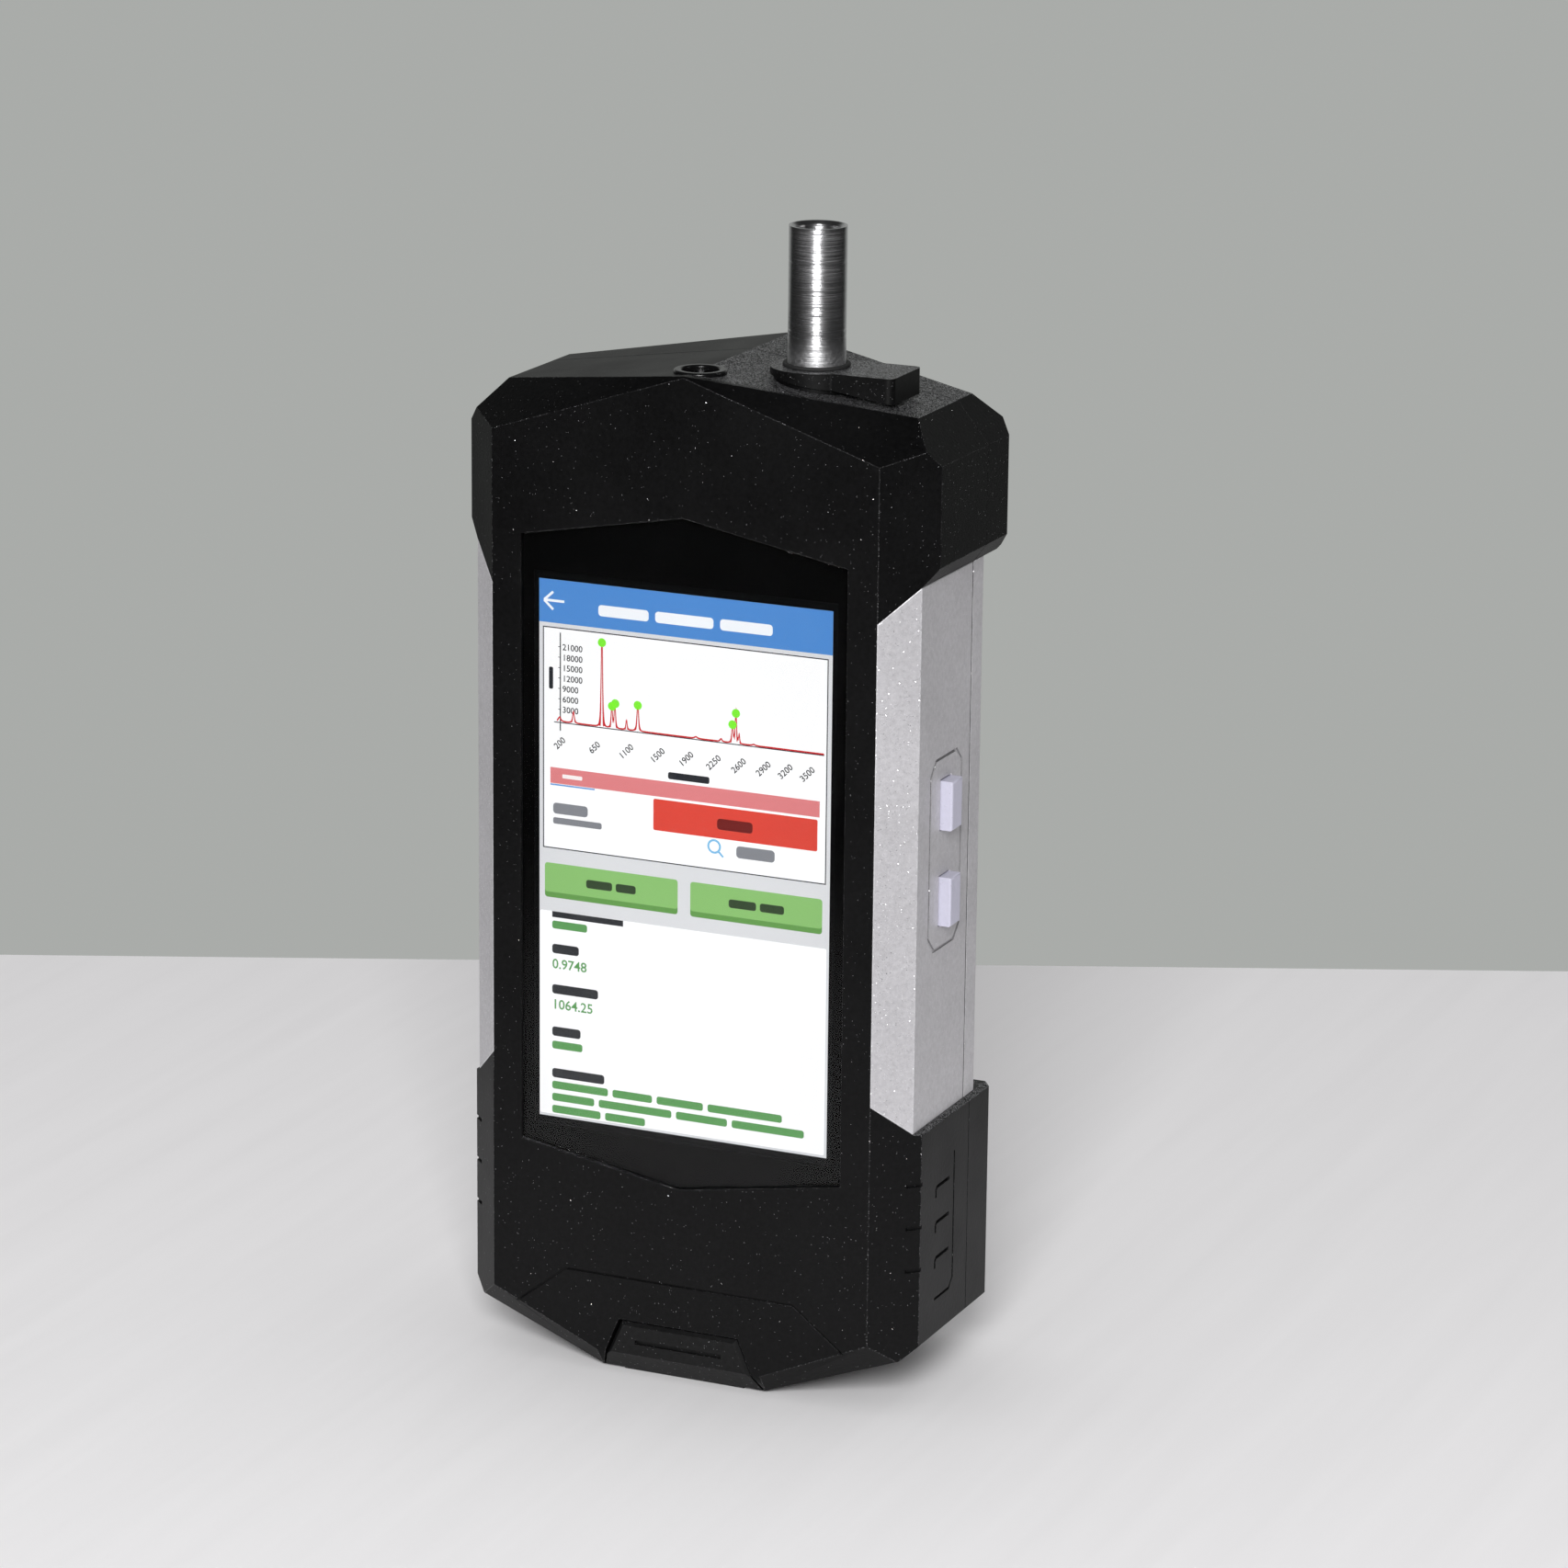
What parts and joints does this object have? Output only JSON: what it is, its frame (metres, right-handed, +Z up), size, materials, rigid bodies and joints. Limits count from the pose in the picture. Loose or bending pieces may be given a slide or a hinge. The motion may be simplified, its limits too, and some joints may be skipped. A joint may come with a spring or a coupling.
{
  "type": "handheld raman spectrometer",
  "caption": "Handheld Raman spectrometer with a chamfered black two-shell housing, silver side grips, a pointed cover glass and a point-and-shoot adapter tube on the roof.",
  "frame": {"origin": "under the middle of the housing, on the plane that its foot pad stands on", "axes": "+Z up along the probe tube, screen facing -Y, +X to the right as seen from the screen side"},
  "size_m": [0.0992, 0.0514, 0.2306],
  "materials": {
    "black_housing": "textured black with fine sparkle",
    "silver_paint": "silver paint with coarse sparkle",
    "button_silver": "smooth pale silver",
    "cover_glass": "polished, black border printed behind",
    "black_foam": "thin adhesive",
    "display": "display panel",
    "bright_steel": "bright",
    "circuit_board": "green solder mask",
    "black_plastic": "moulded",
    "black_metal": "black anodised",
    "clear_optic": "coated",
    "mirror": "polished",
    "brass": "turned or stamped",
    "aluminium": "milled",
    "turned_steel": "turned, fine rings",
    "black_rubber": "matt",
    "gloss_black": "gloss",
    "battery_wrap": "shrink wrap"
  },
  "bodies": {
    "housing": {"front_shell": "black_housing", "rear_shell": "black_housing", "battery_door": "black_housing", "side_grip_right_front": "silver_paint", "side_grip_right_rear": "silver_paint", "side_grip_left_front": "silver_paint", "side_grip_left_rear": "silver_paint", "cover_glass": "cover_glass", "glass_adhesive": "black_foam", "display_panel": "display", "display_bracket": "bright_steel", "main_board": "circuit_board", "processor_shield": "bright_steel", "sounder": "black_plastic", "board_screws": "bright_steel", "button_board": "circuit_board", "button_switches": "black_plastic", "probe_barrel": "black_metal", "probe_window": "clear_optic", "objective_lens": "clear_optic", "optical_bench": "black_metal", "bench_cover": "black_metal", "bench_screws": "bright_steel", "edge_filter": "clear_optic", "collimating_mirror": "mirror", "focusing_mirror": "mirror", "grating": "mirror", "slit_plate": "black_metal", "detector_board": "circuit_board", "laser_module": "brass", "laser_clamp": "aluminium", "heat_sink": "aluminium", "roof_magnet": "bright_steel", "locating_pin": "bright_steel", "camera_bezel": "gloss_black", "camera_window": "clear_optic", "camera_module": "black_plastic", "port_cover_pin": "bright_steel", "port_board": "circuit_board", "data_port": "bright_steel", "charging_jack": "black_plastic", "battery_tray": "black_plastic", "battery_contacts": "brass", "battery_pack": "battery_wrap", "door_screws": "bright_steel", "shell_seal": "black_rubber", "shell_screws": "bright_steel", "foot_pad": "black_rubber"},
    "upper_button": {"upper_button": "button_silver"},
    "lower_button": {"lower_button": "button_silver"},
    "adapter": {"adapter_plate": "black_housing", "adapter_tube": "turned_steel", "tube_ring": "black_rubber", "tab_magnet": "bright_steel"},
    "port_flap": {"port_cover": "black_rubber"}
  },
  "joints": [
    {"name": "upper_button_press", "type": "slide", "parent": "housing", "child": "upper_button", "axis": [-1, 0, 0], "range_m": [0, 0.0008], "stiffness_N_per_m": 900, "springref_m": -0.001},
    {"name": "lower_button_press", "type": "slide", "parent": "housing", "child": "lower_button", "axis": [-1, 0, 0], "range_m": [0, 0.0008], "stiffness_N_per_m": 900, "springref_m": -0.001},
    {"name": "adapter_lift", "type": "slide", "parent": "housing", "child": "adapter", "axis": [0, 0, 1], "range_m": [0, 0.03]},
    {"name": "port_cover_swing", "type": "hinge", "parent": "housing", "child": "port_flap", "pos_m": [0, -0.00675, 0.00145], "axis": [1, 0, 0], "range_deg": [0, 105]}
  ]
}
